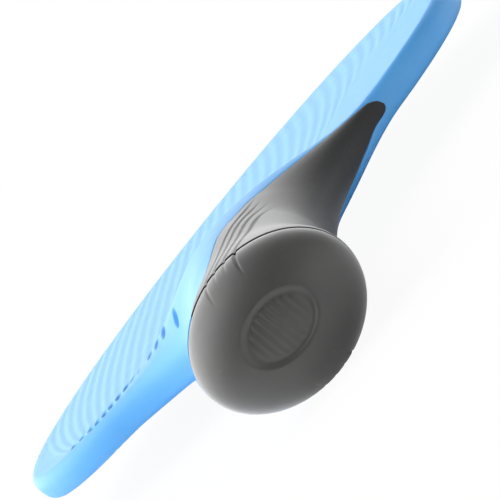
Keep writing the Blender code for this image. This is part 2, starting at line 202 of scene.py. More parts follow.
# How finely the surfaces are divided
DENSE = 260
DENSE_RIM = 26
RIM_COLUMNS = 11
BLUE_COLUMNS = 200
BLUE_CROWDING = 1.5
GRIP_COLUMNS = 120
HANDLE_ROWS = 92
THROAT_ROWS = 210
HEAD_COLUMNS = 420
FACE_COLUMNS = 560
FACE_ROWS = 110
FACE_ROW_CROWDING = 0.6
CAP_ROWS = 90
CAP_COLUMNS = 440
CAP_FIRST_TURN = 0.004
SEAM_ROWS = (0.0, 0.06, 0.2, 0.45, 0.8, 1.3)
BORDER_STEPS = 16
FILLET_POINTS = 400
SHOULDER_POINTS = 120
BLADE_POINTS = 2000
OUTLINE_HANDLE = 100
OUTLINE_THROAT = 200
OUTLINE_HEAD = 200
FACE_EDGE = 1200
FACE_THROAT = 300
POINTS_AT_ONCE = 2000
SMALL_TURN = 0.001


def smooth(value):
    value = np.clip(value, 0.0, 1.0)
    return value * value * (3 - 2 * value)


def signed_power(value, power):
    return np.sign(value) * np.abs(value) ** power


def blade_points(angles):
    """Points of the blade's outline, by angle about its widest line: 0 at +X, half pi at the head."""
    across, along = np.cos(angles), np.sin(angles)
    near = along < 0
    fullness = np.where(near, SHOULDER_FULLNESS, HEAD_FULLNESS)
    reach = np.where(near, WIDEST_POINT - BLADE_START, OVERALL_LENGTH - WIDEST_POINT)
    x = HALF_WIDTH * signed_power(across, 2 / fullness)
    y = WIDEST_POINT + reach * signed_power(along, 2 / fullness)
    return np.stack((x, y), axis=-1)


def shoulder_angle(x):
    return -math.acos((x / HALF_WIDTH) ** (SHOULDER_FULLNESS / 2))


def handle_size(y):
    """Half width and half thickness of the handle below the flare."""
    to_waist = smooth((y - CAP_DEPTH) / (WAIST - CAP_DEPTH))
    to_flare = smooth((y - WAIST) / (FLARE - WAIST))
    width = CAP_HALF_WIDTH + (WAIST_HALF_WIDTH - CAP_HALF_WIDTH) * to_waist
    width += (FLARE_HALF_WIDTH - WAIST_HALF_WIDTH) * to_flare
    thick = CAP_HALF_THICKNESS + (WAIST_HALF_THICKNESS - CAP_HALF_THICKNESS) * to_waist
    thick += (FLARE_HALF_THICKNESS - WAIST_HALF_THICKNESS) * to_flare
    return width, thick


def lengths_along(points):
    steps = np.linalg.norm(np.diff(points, axis=0), axis=1)
    return np.concatenate(([0.0], np.cumsum(steps)))


def at_lengths(points, wanted):
    """Points at these lengths along a line."""
    lengths = lengths_along(points)
    return np.stack([np.interp(wanted, lengths, values) for values in points.T], axis=1)


def even(points, count):
    return at_lengths(points, np.linspace(0.0, lengths_along(points)[-1], count))


def throat_side(count):
    """The +X outline from the flare, round the throat fillet, to the throat's end on the blade's edge."""
    start = shoulder_angle(SHOULDER_REACH)
    meet, after = blade_points(np.array((start, start + SMALL_TURN)))
    heading = (after - meet) / np.hypot(*(after - meet))
    flare = np.array((FLARE_HALF_WIDTH, FLARE))
    pull = (flare, flare + (0, SHOULDER_PULL_HANDLE), meet - heading * SHOULDER_PULL_BLADE, meet)
    t = np.linspace(0.0, 1.0, FILLET_POINTS)[:, None]
    weights = ((1 - t) ** 3, 3 * (1 - t) ** 2 * t, 3 * (1 - t) * t * t, t ** 3)
    fillet = sum(weight * point for weight, point in zip(weights, pull))
    arc = blade_points(np.linspace(start, shoulder_angle(THROAT_WIDTH / 2), SHOULDER_POINTS)[1:])
    return even(np.concatenate((fillet, arc)), count)


def head_side(count):
    """The outline from the +X end of the throat round the head to the -X end."""
    start = shoulder_angle(THROAT_WIDTH / 2)
    half = even(blade_points(np.linspace(start, math.pi / 2, BLADE_POINTS)), count // 2 + 1)
    return np.concatenate((half, half[-2::-1] * (-1, 1)))


def normals_in(points):
    heading = np.gradient(points, axis=0)
    heading /= np.hypot(*heading.T)[:, None]
    return np.stack((-heading[:, 1], heading[:, 0]), axis=1)


def side_outline():
    """The +X half of the outline, from the butt to the head."""
    y = np.linspace(0.0, FLARE, OUTLINE_HANDLE)[:-1]
    handle = np.stack((handle_size(y)[0], y), axis=1)
    head = head_side(2 * OUTLINE_HEAD)[1:OUTLINE_HEAD + 1]
    return np.concatenate((handle, throat_side(OUTLINE_THROAT), head))


SIDE_OUTLINE = side_outline()


def depth_inside(plan):
    """How far each plan point lies from the outline."""
    start, along = SIDE_OUTLINE[:-1], np.diff(SIDE_OUTLINE, axis=0)
    square = (along ** 2).sum(axis=1)
    points = np.stack((np.abs(plan[:, 0]), plan[:, 1]), axis=1)
    depths = []
    for chunk in np.array_split(points, len(points) // POINTS_AT_ONCE + 1):
        share = ((chunk[:, None, :] - start) * along).sum(axis=2) / square
        nearest = start + np.clip(share, 0.0, 1.0)[..., None] * along
        depths.append(np.hypot(*np.moveaxis(chunk[:, None, :] - nearest, 2, 0)).min(axis=1))
    return np.concatenate(depths)


def rim_height(depth):
    out = 1 - np.clip(depth / RIM_ROUNDING, 0.0, 1.0)
    return HALF_THICKNESS * (1 - out ** RIM_SQUARENESS) ** (1 / RIM_SQUARENESS)


def throat_height(x, depth, share, slope):
    """Height above the middle plane in the throat, whose -X side rises from the rim in this width."""
    crest = HALF_THICKNESS + (FLARE_HALF_THICKNESS - HALF_THICKNESS) * (1 - smooth(share ** CREST_HOLD))
    squared = smooth((share - SQUARE_FROM) / (SQUARE_TO - SQUARE_FROM))
    square = OVAL_SQUARENESS + (THROAT_SQUARENESS - OVAL_SQUARENESS) * squared
    out = np.abs(x) / (np.abs(x) + depth + 1e-9)
    oval = crest * (1 - out ** square) ** (1 / square)
    spread = FILLET_START_WIDTH + (FILLET_END_WIDTH - FILLET_START_WIDTH) * share
    bell = (1 - np.clip(np.abs(x) / spread, 0.0, 1.0) ** 2) ** 2
    risen = np.where(x < 0, 1 - (1 - np.clip(depth / slope, 0.0, 1.0)) ** 2, 1.0)
    filleted = rim_height(depth) * (1 + (crest / HALF_THICKNESS - 1) * bell * risen)
    plain_side = smooth(share / PLAIN_SIDE_THIN_AT)
    tongue_side = smooth((share - TONGUE_SIDE_FAT_TO) / (1 - TONGUE_SIDE_FAT_TO))
    to_tongue = smooth(x / (2 * CAP_HALF_THICKNESS) + 0.5)
    blend = plain_side * (1 - to_tongue) + tongue_side * to_tongue
    return oval * (1 - blend) + filleted * blend


def scoop(share):
    """How much slimmer the back of the throat is than its front."""
    along = np.clip((share - SCOOP_FROM) / (SCOOP_TO - SCOOP_FROM), 0.0, 1.0)
    return 1 - BACK_SCOOP * np.sin(math.pi * along) ** 2


def bow(reach, share):
    """How far a row across the throat bends towards the head: 0 at its ends, 1 on the centre line."""
    return (1 - reach ** 2) ** (1 + share)


def dense_rim_depths():
    return RIM_ROUNDING * (1 - np.cos(np.linspace(0.0, math.pi / 2, DENSE_RIM)))


def handle_line(y):
    """A dense line over the front of the handle, from the -X edge to the +X edge."""
    across = np.sin(np.linspace(-math.pi / 2, math.pi / 2, DENSE))
    width, thick = handle_size(y)
    height = thick * (1 - np.abs(across) ** OVAL_SQUARENESS) ** (1 / OVAL_SQUARENESS)
    return np.stack((across * width, np.full_like(across, y), height), axis=1)


def throat_line(end, normal, share, slope):
    """A dense bowed line over one side of the throat, from the -X edge to the +X edge."""
    depths = dense_rim_depths()
    edge = end + normal * depths[:, None]
    reach = np.linspace(-1.0, 1.0, DENSE)[1:-1]
    middle = FLARE + (THROAT_PEAK - FLARE) * share
    x = edge[-1, 0] * reach
    y = edge[-1, 1] + (middle - edge[-1, 1]) * bow(reach, share)
    plan = np.concatenate((edge * (-1, 1), np.stack((x, y), axis=1), edge[::-1]))
    depth = depth_inside(plan)
    depth[:DENSE_RIM] = depths
    depth[-DENSE_RIM:] = depths[::-1]
    return np.column_stack((plan, throat_height(plan[:, 0], depth, share, slope)))


def surface_lines():
    """Dense lines across the front and across the back, from the cap's seam to the end of the throat."""
    near_seam = HANDLE_START + EDGE_ROUNDING * np.array(SEAM_ROWS)
    handle = np.concatenate((near_seam, np.linspace(near_seam[-1], FLARE, HANDLE_ROWS + 1)[1:-1]))
    front = [handle_line(y) for y in handle]
    back = [line.copy() for line in front]
    ends = throat_side(THROAT_ROWS + 1)
    normals = normals_in(ends)
    normals[0] = (-1, 0)
    for number, (end, normal) in enumerate(zip(ends, normals)):
        share = number / THROAT_ROWS
        front.append(throat_line(end, normal, share, PLAIN_SIDE_SLOPE))
        back.append(throat_line(end, normal, share, BACK_SIDE_SLOPE) * (1, 1, scoop(share)))
    for line in back:
        line[:, 2] *= -1
    return front, back


def bent_line(points):
    """A smooth line through plan points in millimetres, in metres."""
    points = np.array(points) * MM
    ends = [2 * points[0] - points[1], *points, 2 * points[-1] - points[-2]]
    line = []
    for before, here, there, after in zip(ends, ends[1:], ends[2:], ends[3:]):
        for t in np.linspace(0.0, 1.0, BORDER_STEPS, endpoint=False):
            line.append(0.5 * (
                2 * here + (there - before) * t + (2 * before - 5 * here + 4 * there - after) * t * t
                + (3 * here - before - 3 * there + after) * t ** 3
            ))
    return np.array(line + [points[-1]])


def line_x(line, y):
    return np.interp(y, line[:, 1], line[:, 0])


def grip_reach(line, border, from_tip, tongue_reach):
    """How far the grip reaches from the +X edge along a dense line, ending in the tongue's round nose."""
    side = line[:, 0] - line_x(border, line[:, 1])
    lengths = lengths_along(line)
    inside = np.where(side < 0)[0][-1]
    reach = 0.0
    if inside + 1 < len(side):
        part = side[inside] / (side[inside] - side[inside + 1])
        reach = lengths[-1] - lengths[inside] - part * (lengths[inside + 1] - lengths[inside])
    nose = np.clip(1 - from_tip / TONGUE_NOSE, 0.0, 1.0)
    blended = (reach ** TONGUE_BLEND + tongue_reach ** TONGUE_BLEND) ** (1 / TONGUE_BLEND)
    return blended * math.sqrt(1 - nose ** 2)


def grip_reaches(lines, border, tongue_reach):
    edge = np.array([line[-1, :2] for line in lines])
    along = lengths_along(edge)
    tip = along[np.argmax(edge[:, 0] > TONGUE_TIP)]
    return [grip_reach(line, border, tip - place, tongue_reach) for line, place in zip(lines, along)]


def rim_lengths():
    """Lengths along the rim's rounding, from the bat's edge in, where the columns lie."""
    depths = dense_rim_depths()
    section = np.stack((depths, rim_height(depths)), axis=1)
    return np.linspace(0.0, lengths_along(section)[-1], RIM_COLUMNS)


RIM_LENGTHS = rim_lengths()


def normals_of(grid, flip):
    across = np.gradient(grid, axis=1)
    along = np.gradient(grid, axis=0)
    normal = np.cross(across, along)
    normal /= np.linalg.norm(normal, axis=2, keepdims=True) + 1e-15
    return -normal if flip else normal


def edge_drop(distance, most=EDGE_DROP):
    """How far a moulded edge is rounded down at this distance from it."""
    out = np.clip(1 - distance / EDGE_ROUNDING, 0.0, 1.0)
    return most * (1 - np.sqrt(1 - out ** 2))


def groove_relief(x, y, first, last):
    """Depth of the grip's fine grooves, which run up the handle and fade out towards the tongue."""
    depth = np.zeros_like(x)
    first_x, last_x = line_x(first, y), line_x(last, y)
    for number in range(GROOVES):
        share = number / (GROOVES - 1)
        centre = first_x + (last_x - first_x) * share
        out = np.clip(np.abs(x - centre) / GROOVE_HALF_WIDTH, 0.0, 1.0)
        end = FIRST_GROOVE_END + (LAST_GROOVE_END - FIRST_GROOVE_END) * share
        fade = 1 - smooth((y - end + GROOVE_FADE) / GROOVE_FADE)
        depth = np.maximum(depth, GROOVE_DEPTH * (1 - out ** 2) ** GROOVE_FULLNESS * fade)
    return depth


def blue_side(lines, reaches, flip):
    """The blue surface on one side of the bat, from its -X edge to the grip's border."""
    rows, distances = [], []
    for line, reach in zip(lines, reaches):
        total = lengths_along(line)[-1]
        near_end = total - reach - RIM_LENGTHS[::-1]
        share = np.linspace(0.0, 1.0, BLUE_COLUMNS)[1:-1] ** BLUE_CROWDING
        inner = RIM_LENGTHS[-1] + (near_end[0] - RIM_LENGTHS[-1]) * share
        wanted = np.concatenate((RIM_LENGTHS, inner, near_end))
        rows.append(at_lengths(line, wanted))
        distances.append(total - reach - wanted)
    grid, distance = np.array(rows), np.array(distances)
    normal = normals_of(grid, flip)
    normal[:, 0] = (-1, 0, 0)
    from_seam = grid[..., 1] - HANDLE_START
    beside_grip = np.clip(np.array(reaches) / EDGE_ROUNDING, 0.0, 1.0)[:, None]
    beside = edge_drop(distance, BLUE_EDGE_DROP) * beside_grip
    drop = np.maximum(beside, edge_drop(from_seam, HANDLE_END_DROP))
    rise = np.abs(grid[..., 2]) - HALF_THICKNESS
    drop = drop + face_relief(grid[..., 0], grid[..., 1], rise)
    grid = grid - normal * drop[..., None]
    has_grip = sum(reach > 0 for reach in reaches) + 1
    return skirted_blue(grid, normal, has_grip)


def skirted_blue(grid, normal, has_grip):
    """The blue surface with strips turned inwards at the cap's seam and along the grip's border."""
    seam = np.stack((grid[0] - normal[0] * SKIRT, grid[0]))
    border = grid[:has_grip, -1]
    along_grip = np.stack((border, border - normal[:has_grip, -1] * SKIRT), axis=1)
    return [grid, seam, along_grip]


def grip_surface(front, back, front_reach, back_reach, grooves):
    """The grip's surface from its front border, round the +X edge, to its back border."""
    rows, distances = [], []
    count = sum(reach > 0 for reach in front_reach) + 1
    for front_line, back_line, in_front, behind in zip(front[:count], back, front_reach, back_reach):
        share = np.linspace(0.0, 1.0, GRIP_COLUMNS)
        over = lengths_along(front_line)[-1] - in_front * (1 - share)
        under = lengths_along(back_line)[-1] - behind * share
        top = at_lengths(front_line, over)
        low = at_lengths(back_line, under)
        rows.append(np.concatenate((top, low[1:])))
        distances.append(np.concatenate((in_front * share, behind * (1 - share[1:]))))
    grid, distance = np.array(rows), np.array(distances)
    normal = normals_of(grid, False)
    from_seam = grid[..., 1] - HANDLE_START
    relief = groove_relief(grid[..., 0], grid[..., 1], *grooves)
    drop = np.maximum(edge_drop(distance), edge_drop(from_seam, HANDLE_END_DROP)) + relief
    grid = grid - normal * drop[..., None]
    seam = np.stack((grid[0] - normal[0] * SKIRT, grid[0]))
    first = np.stack((grid[:, 0] - normal[:, 0] * SKIRT, grid[:, 0]), axis=1)
    last = np.stack((grid[:, -1], grid[:, -1] - normal[:, -1] * SKIRT), axis=1)
    return [grid, seam, first, last]


def head_band():
    """The rounded rim from one end of the throat round the head to the other."""
    edge = head_side(HEAD_COLUMNS)
    normal = normals_in(edge)
    depths = dense_rim_depths()
    section = at_lengths(np.stack((depths, rim_height(depths)), axis=1), RIM_LENGTHS)
    columns = []
    for depth, height in np.concatenate((section[::-1], section[1:] * (1, -1))):
        plan = edge + normal * depth
        columns.append(np.column_stack((plan, np.full(len(plan), height))))
    return np.stack(columns, axis=1)


def ripple_terms(y):
    """The middle, the pitch and the crowding of the ripples at these plan Y."""
    t = (y - RIPPLE_FROM) / RIPPLE_SPAN
    return [sum(term * MM * t ** power for power, term in enumerate(terms))
            for terms in (RIPPLE_MIDDLE, RIPPLE_PITCH, RIPPLE_CROWDING)]


def ripple_number(x, y):
    """Which ripple lies at each plan point, with parts of one between, and the pitch there."""
    middle, pitch, crowding = ripple_terms(y)
    number = (x - middle) / pitch
    for _ in range(RIPPLE_STEPS):
        miss = middle + number * pitch + number ** 3 * crowding - x
        spread = np.maximum(pitch + 3 * number ** 2 * crowding, LEAST_PITCH)
        number = np.clip(number - miss / spread, -MOST_RIPPLES, MOST_RIPPLES)
    return number, spread


def pit_relief(places, lengths, number, pitch, y):
    """Depth of the pits at these plan points, with these lengths towards the butt and the head."""
    relief = np.zeros_like(y)
    for pit_x, pit_y in places:
        pit_number = ripple_number(np.array(pit_x * MM), np.array(pit_y * MM))[0]
        across = (number - pit_number) * pitch / PIT_HALF_WIDTH
        along = (y - pit_y * MM) / np.where(y < pit_y * MM, *lengths)
        out = np.clip(across ** 2 + along ** 2, 0.0, 1.0)
        relief = np.maximum(relief, PIT_DEPTH * (1 - out) ** PIT_FULLNESS)
    return relief


def face_relief(x, y, rise):
    """How deep the rippled face lies below its smooth form, which rises this much above the face's plane."""
    number, spread = ripple_number(x, y)
    depth = depth_inside(np.stack((x.ravel(), y.ravel()), axis=1)).reshape(x.shape)
    thumb_rest = np.minimum(THUMB_REST_FROM + THUMB_REST_SLOPE * np.maximum(x, 0.0), THUMB_REST_TO)
    fade = smooth((depth - RIPPLE_INSET) / RIPPLE_FADE + 0.5) * (1 - smooth(rise / RIPPLE_RISE_FADE))
    fade = fade * smooth((y - thumb_rest) / THUMB_REST_FADE)
    relief = RIPPLE_DEPTH * (0.5 + 0.5 * np.cos(2 * math.pi * number)) * fade
    pits = np.maximum(
        pit_relief(THROAT_PITS, THROAT_PIT_LENGTHS, number, spread, y),
        pit_relief(FACE_PITS, FACE_PIT_LENGTHS, number, spread, y),
    )
    off_the_rim = smooth((depth - PIT_RIM) / PIT_RIM)
    return np.maximum(relief, pits * off_the_rim)


def face_grid():
    """The rippled face in columns along the bat, from the throat and the rim to the head."""
    edge = head_side(2 * FACE_EDGE)
    half = (edge + normals_in(edge) * RIM_ROUNDING)[:FACE_EDGE + 1]
    reach = np.linspace(0.0, 1.0, FACE_THROAT)[:-1]
    throat_y = half[0, 1] + (THROAT_PEAK - half[0, 1]) * bow(reach, 1.0)
    boundary = np.concatenate((np.stack((half[0, 0] * reach, throat_y), axis=1), half))
    widest = int(np.argmax(boundary[:, 0]))
    x = boundary[widest, 0] * np.sin(np.linspace(-math.pi / 2, math.pi / 2, FACE_COLUMNS))
    low = np.interp(np.abs(x), boundary[:widest + 1, 0], boundary[:widest + 1, 1])
    high = np.interp(-np.abs(x), -boundary[widest:, 0], boundary[widest:, 1])
    along = np.linspace(0.0, 1.0, FACE_ROWS)
    share = (along + along ** 2 * FACE_ROW_CROWDING) / (1 + FACE_ROW_CROWDING)
    y = low + (high - low) * share[:, None]
    x = np.broadcast_to(x, y.shape)
    return np.stack((x, y, HALF_THICKNESS - face_relief(x, y, 0.0)), axis=-1)


def face_skirt(grid):
    """A strip turned down round the face's edge, so that nothing shows between it and the rim."""
    down = (0, 0, SKIRT)
    low = np.stack((grid[0] - down, grid[0]))
    high = np.stack((grid[-1], grid[-1] - down))
    return [grid, low, high]


def notch_relief(x, y, z, grooves):
    """Short tapered notches on the cap, where the grip's grooves run out over its edge."""
    depth = np.zeros_like(x)
    first_x, last_x = [line_x(groove, CAP_DEPTH) for groove in grooves]
    for number, deepest in enumerate(NOTCH_DEPTHS):
        share = number / (GROOVES - 1)
        end = LONG_NOTCH_END if number in (0, GROOVES - 1) else SHORT_NOTCH_END
        along = np.clip((y - end) / (CAP_DEPTH - end), 0.0, 1.0)
        centre = first_x + (last_x - first_x) * share + NOTCH_SLANT * (y - CAP_DEPTH)
        half_width = NOTCH_HALF_WIDTH * (NOTCH_TIP_WIDTH + (1 - NOTCH_TIP_WIDTH) * along)
        out = np.clip(np.abs(x - centre) / half_width, 0.0, 1.0)
        notch = deepest * (1 - out ** 2) ** GROOVE_FULLNESS * smooth(along * NOTCH_RISE)
        depth = np.maximum(depth, np.where(z > 0, notch, notch * BACK_NOTCH_SHARE))
    return depth


def dish_relief(x, z):
    """A plain oval dish in the middle of the cap, with fine straight ribs in it."""
    out = np.hypot(x / DISH_HALF_WIDTH, z / DISH_HALF_HEIGHT)
    dish = DISH_DEPTH * (1 - smooth((out - 1 + DISH_EDGE) / DISH_EDGE))
    ribs = DISH_RIB_HEIGHT * (0.5 + 0.5 * np.cos(2 * math.pi * x / DISH_RIB_PITCH))
    return dish - ribs * (1 - smooth((out - DISH_RIB_TO) / DISH_RIB_FADE))


def cap_form():
    """The cap's smooth rounded form, in rows from the middle of the butt to its seam."""
    turn = np.linspace(CAP_FIRST_TURN, math.pi / 2, CAP_ROWS)
    y = CAP_DEPTH * (1 - np.cos(turn)) * (1 - SEAM_GAP / 2 / CAP_DEPTH)
    grow = (1 - np.cos(turn) ** CAP_FULLNESS) ** (1 / CAP_FULLNESS)
    angle = np.linspace(0.0, 2 * math.pi, CAP_COLUMNS + 1)
    x = -signed_power(np.cos(angle), 2 / OVAL_SQUARENESS) * (CAP_HALF_WIDTH - CAP_SET_IN)
    z = signed_power(np.sin(angle), 2 / OVAL_SQUARENESS) * (CAP_HALF_THICKNESS - CAP_SET_IN)
    return np.stack(np.broadcast_arrays(grow[:, None] * x, y[:, None], grow[:, None] * z), axis=-1)


def cap_surface(grooves):
    """The cap with its notches and dish, turned inwards at its seam."""
    grid = cap_form()
    normal = normals_of(grid, False)
    normal[0] = (0, -1, 0)
    x, y, z = np.moveaxis(grid, 2, 0)
    relief = notch_relief(x, y, z, grooves) + dish_relief(x, z) + edge_drop(y[-1] - y, CAP_END_DROP)
    grid = grid - normal * relief[..., None] + CAP_OFFSET
    grid[:, -1] = grid[:, 0]
    inwards = 1 - SKIRT / CAP_HALF_THICKNESS
    seam = np.stack((grid[-1], grid[-1] * (inwards, 1, inwards)))
    middle = np.broadcast_to(grid[0].mean(axis=0), grid[0].shape)
    return [grid, seam, np.stack((middle, grid[0]))]


def frame_points(points):
    """Plan points moved into the frame, where the bat is centred."""
    return points - (0.0, OVERALL_LENGTH / 2, 0.0)


def piece_of(name, grids, flipped=()):
    """One mesh piece from several grids of points, welded where they meet."""
    points, faces = [], []
    count = 0
    for grid in grids:
        rows, columns = grid.shape[:2]
        number = np.arange(rows * columns).reshape(rows, columns) + count
        corners = np.stack((number[:-1, :-1], number[:-1, 1:], number[1:, 1:], number[1:, :-1]), axis=-1)
        if any(grid is other for other in flipped):
            corners = corners[..., ::-1]
        points.append(frame_points(grid).reshape(-1, 3))
        faces.append(corners.reshape(-1, 4))
        count += rows * columns
    data = bpy.data.meshes.new(name)
    data.from_pydata(np.concatenate(points), (), np.concatenate(faces))
    mesh = bmesh.new()
    mesh.from_mesh(data)
    bmesh.ops.remove_doubles(mesh, verts=mesh.verts, dist=WELD)
    mesh.to_mesh(data)
    mesh.free()
    data.shade_smooth()
    data.set_sharp_from_angle(angle=SHARP_ANGLE)
    piece = bpy.data.objects.new(name, data)
    bpy.context.scene.collection.objects.link(piece)
    return piece


def dress(piece, node, material):
    piece.data.materials.append(material)
    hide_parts(node)
    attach(piece, "root")


SHEEN_ROUGHNESS = 0.45


class Finish:
    """A node material with one Principled shader, and short calls that add to it."""

    def __init__(self, name, roughness=0.5, sheen=0.0, specular=0.5):
        self.material = bpy.data.materials.new(name)
        self.material.use_nodes = True
        self.tree = self.material.node_tree
        self.shader = self.tree.nodes["Principled BSDF"]
        self.shader.inputs["Roughness"].default_value = roughness
        self.shader.inputs["Sheen Weight"].default_value = sheen
        self.shader.inputs["Sheen Roughness"].default_value = SHEEN_ROUGHNESS
        self.shader.inputs["Specular IOR Level"].default_value = specular
        self.place = self.tree.nodes.new("ShaderNodeTexCoord").outputs["Object"]

    def link(self, source, target):
        self.tree.links.new(source, target)

    def noise(self, size, detail=2.0):
        """Noise whose grains have about this size in metres."""
        node = self.tree.nodes.new("ShaderNodeTexNoise")
        node.inputs["Scale"].default_value = 1 / size
        node.inputs["Detail"].default_value = detail
        self.link(self.place, node.inputs["Vector"])
        return node.outputs["Fac"]

    def ramp(self, source, places, colors):
        """From the first colour to the second between these two places of the source."""
        node = self.tree.nodes.new("ShaderNodeValToRGB")
        self.link(source, node.inputs["Fac"])
        for stop, place, color in zip(node.color_ramp.elements, places, colors):
            stop.position = place
            stop.color = (*color, 1.0)
        return node.outputs["Color"]

    def mix(self, factor, first, second):
        node = self.tree.nodes.new("ShaderNodeMix")
        node.data_type = "RGBA"
        self.link(factor, node.inputs["Factor"])
        self.link(first, node.inputs["A"])
        self.link(second, node.inputs["B"])
        return node.outputs["Result"]

    def rough(self, source, ends):
        """Roughness that follows the source, from the lowest to the highest of these ends."""
        node = self.tree.nodes.new("ShaderNodeMapRange")
        node.inputs["To Min"].default_value, node.inputs["To Max"].default_value = ends
        self.link(source, node.inputs["Value"])
        self.link(node.outputs["Result"], self.shader.inputs["Roughness"])

    def bumps(self, *layers):
        """Bump from pairs of a source and a height in metres."""
        normal = None
        for source, height in layers:
            node = self.tree.nodes.new("ShaderNodeBump")
            node.inputs["Distance"].default_value = height
            self.link(source, node.inputs["Height"])
            if normal:
                self.link(normal, node.inputs["Normal"])
            normal = node.outputs["Normal"]
        self.link(normal, self.shader.inputs["Normal"])

    def color(self, source):
        self.link(source, self.shader.inputs["Base Color"])


# Colours as pairs of a deep and a pale tone
MOULDING_BLUES = ((0.10, 0.44, 0.95), (0.12, 0.47, 0.97))
# The faces' blues are the moulding's own rubber blue, made a touch paler and greyer as painted light for the
# sheen on the lit faces
FACE_BLUES_WITH_PAINTED_LIGHT = ((0.12, 0.48, 0.94), (0.14, 0.51, 0.96))
GRIP_GREYS = ((0.011, 0.011, 0.013), (0.017, 0.017, 0.019))
CAP_GREYS = ((0.018, 0.018, 0.017), (0.028, 0.028, 0.026))
DUST_GREYS = ((0.12, 0.12, 0.12), (0.2, 0.2, 0.19))
CORE_GREYS = ((0.16, 0.17, 0.18), (0.27, 0.28, 0.29))
FLOOR_WHITES = ((0.9, 0.9, 0.9), (0.9, 0.9, 0.8955))
BLACK_AND_WHITE = ((0, 0, 0), (1, 1, 1))

# Where in a noise, which runs from 0 to 1, the colours are deepest and palest
BLUE_CLOUD_ENDS = (0.3, 0.7)
DARK_CLOUD_ENDS = (0.3, 0.75)
CORE_CLOUD_ENDS = (0.4, 0.75)
DUST_ENDS = (0.80, 0.84)
WHOLE_NOISE = (0.0, 1.0)

# The sizes of the patterns in the finishes, and the heights of their bumps
BLUE_CLOUDS = 14 * MM
BLUE_WEAR = 2.5 * MM
BLUE_GRAIN = 0.22 * MM
BLUE_WAVES = 3 * MM
DARK_CLOUDS = 6 * MM
DARK_WEAR = 1.8 * MM
DARK_GRAIN = 0.18 * MM
DARK_WAVES = 1.5 * MM
DUST_SIZE = 0.6 * MM
CORE_CLOUDS = 1.2 * MM
CORE_GRAIN = 0.3 * MM
FLOOR_CLOUDS = 0.4
FAINT_BUMP = 0.01 * MM
BUMP = 0.02 * MM

# The lowest and the highest roughness of each finish, and how it shines
BLUE_ROUGHNESS = (0.44, 0.56)
DARK_ROUGHNESS = (0.42, 0.52)
CORE_ROUGHNESS = (0.45, 0.6)
FLOOR_ROUGHNESS = 0.9
BLUE_SPECULAR = 0.45
GRIP_SPECULAR = 0.3
GRIP_SHEEN = 0.6
CAP_SPECULAR = 1.0
CAP_SHEEN = 1.0


def blue_finish(name, blues):
    """Satin blue elastomer: a fine moulded grain and faint cloudiness."""
    finish = Finish(name, specular=BLUE_SPECULAR)
    clouds = finish.noise(BLUE_CLOUDS, detail=3.0)
    finish.color(finish.ramp(clouds, BLUE_CLOUD_ENDS, blues))
    finish.rough(finish.noise(BLUE_WEAR, detail=4.0), BLUE_ROUGHNESS)
    grain = finish.noise(BLUE_GRAIN, detail=3.0)
    finish.bumps((grain, FAINT_BUMP), (finish.noise(BLUE_WAVES), BUMP))
    return finish.material


def dark_finish(name, greys, sheen, specular):
    """Dark soft elastomer with a fine grain, faint wear and specks of dust."""
    finish = Finish(name, sheen=sheen, specular=specular)
    clouds = finish.noise(DARK_CLOUDS, detail=5.0)
    base = finish.ramp(clouds, DARK_CLOUD_ENDS, greys)
    dust = finish.ramp(finish.noise(DUST_SIZE, detail=1.0), DUST_ENDS, BLACK_AND_WHITE)
    speck = finish.ramp(clouds, WHOLE_NOISE, DUST_GREYS)
    finish.color(finish.mix(dust, base, speck))
    finish.rough(finish.noise(DARK_WEAR, detail=4.0), DARK_ROUGHNESS)
    grain = finish.noise(DARK_GRAIN, detail=3.0)
    finish.bumps((grain, BUMP), (finish.noise(DARK_WAVES), BUMP))
    return finish.material


def core_finish():
    """Grey fibre-filled polymer with pale clouds."""
    finish = Finish("core_polymer")
    clouds = finish.noise(CORE_CLOUDS, detail=6.0)
    finish.color(finish.ramp(clouds, CORE_CLOUD_ENDS, CORE_GREYS))
    finish.rough(clouds, CORE_ROUGHNESS)
    finish.bumps((finish.noise(CORE_GRAIN, detail=3.0), BUMP))
    return finish.material


def make_shell(front, back, front_reach, back_reach):
    """The blue moulding: both sides of the handle and throat, and the rim round the head."""
    front_blue = blue_side(front, front_reach, False)
    back_blue = blue_side(back, back_reach, True)
    shell = piece_of("blue_shell", [*front_blue, *back_blue, head_band()], flipped=back_blue)
    dress(shell, "rim_and_throat", blue_finish("blue_moulding", MOULDING_BLUES))


def make_faces():
    # The face rubber's paler blues carry painted light for the sheen on the lit faces
    rubber = blue_finish("face_rubber", FACE_BLUES_WITH_PAINTED_LIGHT)
    face = face_skirt(face_grid())
    dress(piece_of("rippled_front", face), "front_face", rubber)
    under = [grid * (1, 1, -1) for grid in face]
    dress(piece_of("rippled_back", under, flipped=under), "back_face", rubber)


def make_grip(front, back, front_reach, back_reach, grooves):
    grip = piece_of("soft_grip", grip_surface(front, back, front_reach, back_reach, grooves))
    rubber = dark_finish("grip_rubber", GRIP_GREYS, GRIP_SHEEN, GRIP_SPECULAR)
    dress(grip, "grip_cover", rubber)


def make_cap(grooves):
    cap = piece_of("rounded_cap", cap_surface(grooves))
    rubber = dark_finish("cap_rubber", CAP_GREYS, CAP_SHEEN, CAP_SPECULAR)
    dress(cap, "end_cap", rubber)


def dress_cores():
    core = core_finish()
    for name in ("blade_core", "handle_core_front", "handle_core_back"):
        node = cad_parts[name]
        node.data.materials.clear()
        node.data.materials.append(core)


def make_bat():
    front, back = surface_lines()
    front_reach = grip_reaches(front, bent_line(GRIP_EDGE_FRONT), TONGUE_REACH_FRONT)
    back_reach = grip_reaches(back, bent_line(GRIP_EDGE_BACK), TONGUE_REACH_BACK)
    grooves = (bent_line(FIRST_GROOVE), bent_line(LAST_GROOVE))
    make_shell(front, back, front_reach, back_reach)
    make_faces()
    make_grip(front, back, front_reach, back_reach, grooves)
    make_cap(grooves)
    dress_cores()


